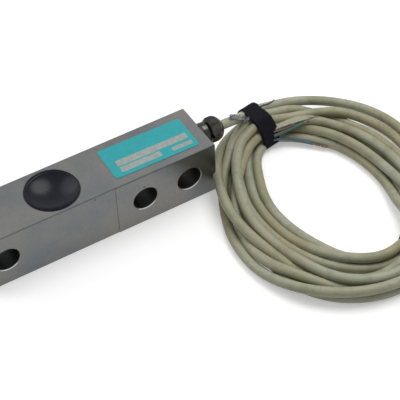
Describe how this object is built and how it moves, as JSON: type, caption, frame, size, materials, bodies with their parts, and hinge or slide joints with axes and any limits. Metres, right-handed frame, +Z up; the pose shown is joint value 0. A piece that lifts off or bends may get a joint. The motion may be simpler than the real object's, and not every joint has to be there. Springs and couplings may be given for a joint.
{
  "type": "strain gauge load cell",
  "caption": "Shear beam load cell: a square steel bar with cross bolt holes, potted gauge pockets above and below, a cable gland and a tied coil of cable with stripped ends.",
  "frame": {"origin": "middle of the beam's bottom face", "axes": "+X along the beam towards its cable end, the bolt holes run along Y, +Z up through the labelled face"},
  "size_m": [0.237, 0.1411, 0.0323],
  "materials": {
    "beam_steel": "nickel-plated, fine ground",
    "gauge_foil": "polyimide film with foil grids",
    "terminal_board": "glass laminate with tinned pads",
    "circuit_board": "lacquered",
    "chip_body": "ceramic",
    "wire_yellow": "enamel",
    "wire_red": "extruded",
    "wire_white": "extruded",
    "wire_green": "extruded",
    "wire_blue": "extruded",
    "wire_dark": "extruded",
    "potting": "cast, glossy",
    "label_print": "satin printed foil",
    "gland_rubber": "moulded",
    "gland_metal": "satin nickel plate",
    "cable_jacket": "satin extruded",
    "strap_weave": "woven hook and loop",
    "tinned_strands": "tinned",
    "copper_strands": "bare twisted"
  },
  "bodies": {
    "root": {"beam": "beam_steel", "gauge_upper": "gauge_foil", "gauge_lower": "gauge_foil", "terminals_upper": "terminal_board", "terminals_lower": "terminal_board", "trim_board": "circuit_board", "trim_resistors": "chip_body", "link_wires": "wire_yellow", "lead_wire_red": "wire_red", "lead_wire_white": "wire_white", "lead_wire_green": "wire_green", "lead_wire_blue": "wire_blue", "potting_upper": "potting", "potting_lower": "potting", "label": "label_print", "gland_seal": "gland_rubber", "gland_body": "gland_metal", "gland_bush": "gland_rubber", "gland_clamp": "gland_metal", "gland_nut": "gland_metal", "cable_lead": "cable_jacket", "cable_coil": "cable_jacket", "strap_near": "strap_weave", "strap_far": "strap_weave", "shield_pigtail": "tinned_strands", "drain_wire": "wire_dark", "conductor_white": "wire_white", "conductor_green": "wire_green", "conductor_red": "wire_red", "conductor_blue": "wire_blue", "bare_tips": "copper_strands"}
  },
  "joints": []
}
